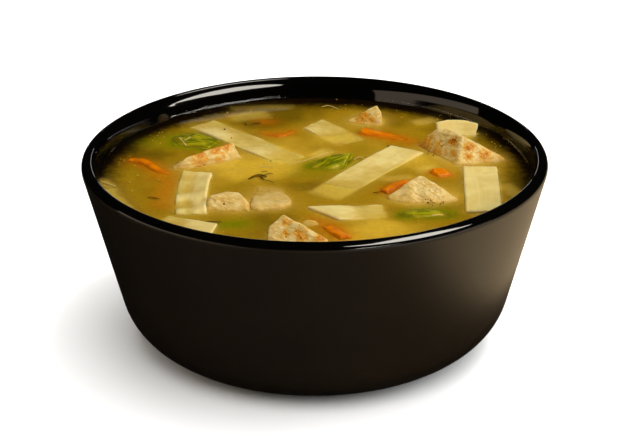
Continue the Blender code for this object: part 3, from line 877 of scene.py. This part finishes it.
def clear_wet(name, ripple, shine):
    """Clear broth's surface: it mirrors, more at a low angle, and lets through what it doesn't mirror."""
    wet = Finish(name, 0.03, 1.0, Metallic=1.0, Base_Color=(1.0, 1.0, 1.0, 1.0))
    if ripple:
        wet.relief(wet.noise(2.5), ripple)
    mirror = wet.maths("MULTIPLY", wet.step("Fresnel", {"IOR": 1.34}).outputs[0], shine)
    front = wet.maths("SUBTRACT", 1.0, wet.step("NewGeometry").outputs["Backfacing"])
    share = wet.maths("MULTIPLY", mirror, front)
    clear = wet.step("BsdfTransparent")
    both = wet.step("MixShader", {0: share, 1: clear.outputs[0], 2: wet.shader.outputs[0]})
    wet.tree.links.new(both.outputs[0], wet.tree.nodes["Material Output"].inputs["Surface"])
    return wet


surface, _ = round_sheet("broth_surface", SURFACE_REACH, surface_height, LEVEL - 0.3)
serve(surface, clear_wet("clear_broth", 0.030, 0.4), "broth")

# the ring of broth that stands up against the wall: radius of its foot, of the long curve above that,
# and how far it has turned at the end of each
RING_FOOT, RING_CURVE = 0.3, 4.5
FOOT_TURN, CURVE_TURN = 65.0, 73.0

section = arc((0.0, RING_FOOT), RING_FOOT, -90.0, FOOT_TURN - 90.0, 7)
curve_middle = arc(section[-1], RING_CURVE, FOOT_TURN + 90.0, FOOT_TURN + 90.0, 0)[0]
section += arc(curve_middle, RING_CURVE, FOOT_TURN - 90.0, CURVE_TURN - 90.0, 5)[1:]
wide, high = section[-1]
section += [(wide + 0.5, high), (wide + 0.3, -0.3), (0.0, -0.15)]
inner = WALL_AT_LEVEL + high * math.tan(LEAN) - wide - 0.05
ring = turned("broth_at_wall", [(inner + r, LEVEL + z) for r, z in section], hollow=True)
serve(ring, clear_wet("clear_broth_edge", 0.0, 1.0), "broth")

# -------------------- herbs, pepper, shreds and fat
# What floats on top: flakes of dried herb, ground pepper, pale shreds of meat and drops of fat. All of
# it is loose, and lies where the surface carries it.


def on_top(x, y, lift=0.0):
    """A point on the broth or on the food that stands out of it."""
    height = max(tops(food, np.array([[x, y]]))[0], LEVEL)
    return (x, y, height + lift)


# flakes of herb: route over the surface and width
HERBS = (
    (((-21.5, -8.6), (-19.5, -5.6), (-17.4, -4.4), (-15.5, -7)), 1.2),
    (((-18.6, -5.6), (-17.2, -7.4), (-16.4, -9)), 0.8),
    (((-16.4, -5.4), (-15.2, -3.4), (-13.6, -3.6)), 0.6),
    (((-16.8, -9.4), (-14.8, -9.9), (-13, -12.2)), 0.5),
    (((-53, -23.2), (-51.2, -23.6), (-49, -25)), 0.7),
    (((-33.5, -43.5), (-31, -42.6), (-28.4, -43.2)), 0.8),
    (((21, -19.5), (19.6, -20.4), (18.4, -20.2)), 0.7),
    (((-21.6, 42.6), (-20.2, 43.8), (-18.8, 43)), 1.1),
    (((-17.6, -2.4), (-16.4, -1.8), (-15.4, -2.2)), 0.5),
    (((-43, 30), (-42, 31.4), (-41.4, 30.6)), 0.6),
)
leaf = Finish("dried_herb", 0.7, 0.05)
leaf.mottled(0.8, 3.0, (0.040, 0.024, 0.001), (0.130, 0.085, 0.006), 0.3, 0.03)
flakes = []
for i, (route, width) in enumerate(HERBS):
    line = eased([on_top(x, y, 0.12) for x, y in route], 2)
    line[:, 2] += 0.12 * lumps(line, 0.9, 800 + i)
    flakes.append(tube(line, width * 0.8, 0.16, sides=6, blunt=0.4))
serve(joined("herb_flakes", flakes), leaf, "herb")

# ground pepper: middle, radius it lies within, number of grains
PEPPER = (
    (-14.5, 7.4, 0.1, 1), (-24, 42.6, 0.3, 2), (-28.3, -31.7, 0.1, 1), (-31.1, 37.1, 0.2, 2),
    (-28.6, 28.2, 0.1, 1), (-14, -56.6, 0.2, 1), (24.5, 20.8, 0.6, 2), (40.5, 15.5, 3.6, 12),
    (38, -27, 3.5, 11), (36, -29, 2.5, 6), (-6, -58, 3, 4), (18, 44, 1.5, 3),
    (-35, 8, 5, 4), (0, 0, 58, 8),
)
GRAIN = 0.15
SINGLE_GRAIN = 1.6  # how much larger the grains are that lie alone or in twos
dice = random.Random(41)


def somewhere(x, y, reach):
    """A random place within a circle."""
    turn = dice.uniform(0, 2 * math.pi)
    out = reach * math.sqrt(dice.random())
    return x + out * math.cos(turn), y + out * math.sin(turn)


def grain_of_pepper(place, size):
    """One broken grain: an uneven eight-cornered lump."""
    corners = [(x, y, z) for x in (-1, 1) for y in (-1, 1) for z in (-1, 1)]
    corners = [[p + size * c * dice.uniform(0.5, 1.1) for p, c in zip(place, way)] for way in corners]
    faces = [(0, 1, 3, 2), (4, 6, 7, 5), (0, 4, 5, 1), (2, 3, 7, 6), (0, 2, 6, 4), (1, 5, 7, 3)]
    return corners, faces


grains = []
for x, y, reach, count in PEPPER:
    for _ in range(count):
        place = on_top(*somewhere(x, y, reach), 0.05)
        size = GRAIN * dice.uniform(0.6, 1.3) * (SINGLE_GRAIN if count < 3 else 1.0)
        grains.append(grain_of_pepper(place, size))
ground = Finish("ground_pepper", 0.6, 0.2)
ground.mottled(0.4, 2.0, (0.030, 0.015, 0.004), (0.100, 0.055, 0.014), 0.2, 0.02)
serve(joined("pepper_grains", grains), ground, "pepper")

# pale shreds that came off the meat: route and thickness
SHREDS = (
    (((13, 8.2), (15, 11.4), (16.9, 7.8)), 0.22),
    (((-8.6, 4.8), (-5, 6.4), (-1, 9.6), (4.6, 15.2)), 0.22),
    (((-18.6, 2.2), (-16, 2.4), (-13.6, 2)), 0.18),
    (((2.6, 60), (5.4, 61.6), (8.6, 57.4)), 0.18),
    (((-46.6, 29.4), (-45, 26), (-43.6, 21.6)), 0.45),
    (((-44.6, 26.6), (-43.2, 27.6), (-42.6, 29.6)), 0.30),
    (((-69, -10), (-66, -12.6), (-64, -14)), 0.4),
    (((36, -38.6), (38, -38), (39.6, -38.4)), 0.4),
    (((55, -6), (56.6, -4.8), (57.6, -5.4)), 0.2),
)
shred = Finish("meat_shred", 0.35, 0.4, (0.2, (0.001, 0.0008, 0.0004)))
shred.mottled(1.0, 3.0, (0.72, 0.50, 0.12), (0.88, 0.70, 0.28), 0.3, 0.03)
strands = []
for route, thickness in SHREDS:
    line = eased([on_top(x, y) for x, y in route])
    strands.append(tube(line, thickness, thickness * 0.7, sides=8, blunt=0.2))
serve(joined("meat_shreds", strands), shred, "chicken")

# drops of fat: middle, radius they lie within, number, and size
FAT = (
    (-59.6, -10.6, 0.3, 1, 0.5), (-57.8, -4.8, 0.3, 1, 0.4), (-50, -9, 1.5, 4, 0.35),
    (-58.6, -17.6, 0.6, 2, 0.5), (-47, 22.4, 0.8, 3, 0.35), (-35.6, 30.2, 1.2, 5, 0.3),
    (37.6, -29.4, 3, 8, 0.35), (-52, 30, 6, 12, 0.3), (-30, 58, 9, 20, 0.3),
    (10, 60, 10, 16, 0.28), (40, 50, 10, 14, 0.28), (55, 33, 6, 12, 0.28),
    (-62, 8, 5, 10, 0.3), (0, 0, 64, 60, 0.24), (30, -42, 8, 8, 0.3),
    (58, 20, 5, 8, 0.3),
)
DOME = 0.45  # a drop's height as a share of its radius


def drop(place, size, sides=10, rings=4):
    """A low dome floating on the surface."""
    points = []
    for i in range(rings):
        lean = 0.5 * math.pi * i / rings
        points += [(x, y, place[2] + DOME * size * math.sin(lean))
                   for x, y in arc(place, size * math.cos(lean), 0.0, 360.0 - 360.0 / sides, sides - 1)]
    points.append((place[0], place[1], place[2] + DOME * size))
    last = (rings - 1) * sides
    return points, [tuple(range(sides))[::-1]] + bands(rings, sides) + fan(last, sides, len(points) - 1)


drops = []
for x, y, reach, count, size in FAT:
    for _ in range(count):
        place = (*somewhere(x, y, reach), LEVEL + 0.03)
        on_broth = on_top(*place[:2])[2] < LEVEL + 0.01
        if on_broth and math.hypot(*place[:2]) < WALL_AT_LEVEL - 1.5:
            drops.append(drop(place, size * dice.uniform(0.4, 1.0)))
fat = Finish("fat_drops", 0.15, 0.6, (0.4, (0.001, 0.0008, 0.0003)))
fat.mottled(3.0, 2.0, (0.42, 0.26, 0.012), (0.66, 0.45, 0.05), 0.5, 0.01)
serve(joined("fat_on_broth", drops), fat, "broth")

# -------------------- table, light and camera
# A plain pale table under a white room, soft boxes and cards round the bowl, and one camera at the
# height of someone about to eat. Light from the table reaches the bowl's right side only.

CAMERA_ELEVATION = math.radians(23.55)
CAMERA_DISTANCE = 600.0
CAMERA_AIM = Vector((0.2, 0.0, 38.9))
CAMERA_ROLL = math.radians(-0.225)
CAMERA_LENS = 102.98
TABLE_REACH = 4000.0
WARM = (1.0, 0.94, 0.84)
ROOM = (0.006, 0.006, 0.006, 1.0)  # what the room adds from everywhere
BACKDROP = 1.2  # how bright the white behind it is

corners = [(x * TABLE_REACH, y * TABLE_REACH, 0.0) for x, y in ((-1, -1), (1, -1), (1, 1), (-1, 1))]
table = solid("table", corners, [(0, 1, 2, 3)])
cloth = Finish("pale_table", 0.8, 0.1).mottled(40.0, 2.0, (0.93,) * 3, (0.97,) * 3)
table.data.materials.append(cloth.material)
table.visible_glossy = False


def softbox(name, azimuth, elevation, distance, size, brightness,
            shape="RECTANGLE", colour=WARM, tilt=0.0, glossy=True):
    """A flat light that faces the broth; size is its width and height, and glossy is whether it mirrors.
    Azimuth is from straight behind the bowl round to its right; tilt lifts the end further round."""
    a, e = math.radians(azimuth), math.radians(elevation)
    away = Vector((math.sin(a) * math.cos(e), math.cos(a) * math.cos(e), math.sin(e)))
    light = bpy.data.lights.new(name, "AREA")
    light.shape = shape
    light.size, light.size_y = (length * MM for length in size)
    light.color = colour
    area = light.size * light.size_y * (math.pi / 4 if shape == "ELLIPSE" else 1.0)
    light.energy = brightness * math.pi * area
    lamp = placed(name, light)
    lamp.location = (Vector((0, 0, LEVEL)) + away * distance) * MM
    lamp.rotation_mode = "QUATERNION"
    turn = Quaternion((0.0, 0.0, 1.0), -math.radians(tilt))
    lamp.rotation_quaternion = (-away).to_track_quat("-Z", "Y") @ turn
    lamp.visible_glossy = glossy
    return lamp


# the main light, and what the glossy glaze mirrors of it: one bright line along the near lip
softbox("key_box", 56.0, 62.0, 600.0, (150.0, 500.0), 10.0, glossy=False)
gloss = softbox("gloss_box", 101.5, 63.0, 894.0, (690.0, 280.0), 14.0, "ELLIPSE", tilt=40.0)
gloss.visible_diffuse = False
# what the glaze and the broth mirror: a long bright box, a dim panel and two low lights far behind
front_right = softbox("front_right_box", 125.0, 25.0, 900.0, (1150.0, 165.0), 13.5, "ELLIPSE", tilt=14.0)
softbox("left_panel", -112.0, 14.0, 700.0, (900.0, 180.0), 1.15, colour=(1.0, 0.80, 0.60))
for side, azimuth in (("left", -10.5), ("right", 10.5)):
    softbox("low_back_" + side, azimuth, 3.0, 700.0, (240.0, 40.0), 2.8, colour=(1, 1, 1))
# soft light without a mirror image
softbox("left_fill", -120.0, 35.0, 900.0, (600.0, 500.0), 1.6, glossy=False)
softbox("overhead_fill", 0.0, 89.0, 1200.0, (1600.0, 1600.0), 0.10, glossy=False)

# warm light thrown up from the table on the bowl's right side
card = softbox("table_card", 0.0, 0.0, 0.0, (300.0, 400.0), 1.2, colour=(1.0, 0.75, 0.44))
card.location = Vector((235.0, 60.0, 1.0)) * MM
card.rotation_quaternion = Vector((0.0, 0.0, 1.0)).to_track_quat("-Z", "Y")
card.visible_camera = False

# the room's light falls on the table alone, and the long box's light on everything but the table
room = softbox("room_light", 95.0, 62.0, 1500.0, (4000.0, 4000.0), 2.8, colour=(1, 1, 1), glossy=False)
on_table = bpy.data.collections.new("lit_by_room")
bpy.context.scene.collection.children.link(on_table)
on_table.objects.link(table)
room.light_linking.receiver_collection = on_table
off_table = bpy.data.collections.new("not_lit_by_front_right")
off_table.objects.link(table)
off_table.collection_objects[0].light_linking.link_state = "EXCLUDE"
front_right.light_linking.receiver_collection = off_table

# a black card that keeps the long box off the outside of the near lip
FLAG_AZIMUTH, FLAG_DISTANCE, FLAG_WIDTH = math.radians(126.0), 176.0, 280.0
FLAG_BOTTOM, FLAG_TOP = 90.0, 140.0
ahead = Vector((math.sin(FLAG_AZIMUTH), math.cos(FLAG_AZIMUTH), 0.0)) * FLAG_DISTANCE
beside = Vector((ahead.y, -ahead.x, 0.0)).normalized() * FLAG_WIDTH / 2
low, high = ahead + Vector((0, 0, FLAG_BOTTOM)), ahead + Vector((0, 0, FLAG_TOP))
corners = [low - beside, low + beside, high + beside, high - beside]
flag = solid("black_card", corners, [(0, 1, 2, 3)])
felt = Finish("black_felt", 0.9, 0.0).mottled(5.0, 2.0, (0.002,) * 3, (0.004,) * 3)
flag.data.materials.append(felt.material)
flag.visible_camera = False
flag.visible_shadow = False
flag.visible_diffuse = False

world = bpy.data.worlds.new("room")
bpy.context.scene.world = world
world.use_nodes = True
sky = world.node_tree
back = sky.nodes["Background"]
back.inputs["Color"].default_value = ROOM
white = sky.nodes.new("ShaderNodeBackground")
white.inputs["Color"].default_value = (1.0, 1.0, 1.0, 1.0)
white.inputs["Strength"].default_value = BACKDROP
seen = sky.nodes.new("ShaderNodeLightPath")
both = sky.nodes.new("ShaderNodeMixShader")
sky.links.new(seen.outputs["Is Camera Ray"], both.inputs[0])
sky.links.new(back.outputs[0], both.inputs[1])
sky.links.new(white.outputs[0], both.inputs[2])
sky.links.new(both.outputs[0], sky.nodes["World Output"].inputs["Surface"])

scene = bpy.context.scene
scene.view_settings.view_transform = "Standard"
camera = placed("camera", bpy.data.cameras.new("camera"))
camera.data.lens = CAMERA_LENS
camera.data.sensor_width = 36.0
camera.data.clip_start = 0.01
looking = Vector((0.0, math.cos(CAMERA_ELEVATION), -math.sin(CAMERA_ELEVATION)))
camera.location = (CAMERA_AIM - looking * CAMERA_DISTANCE) * MM
camera.rotation_mode = "QUATERNION"
camera.rotation_quaternion = Quaternion(looking, -CAMERA_ROLL) @ looking.to_track_quat("-Z", "Y")
scene.camera = camera
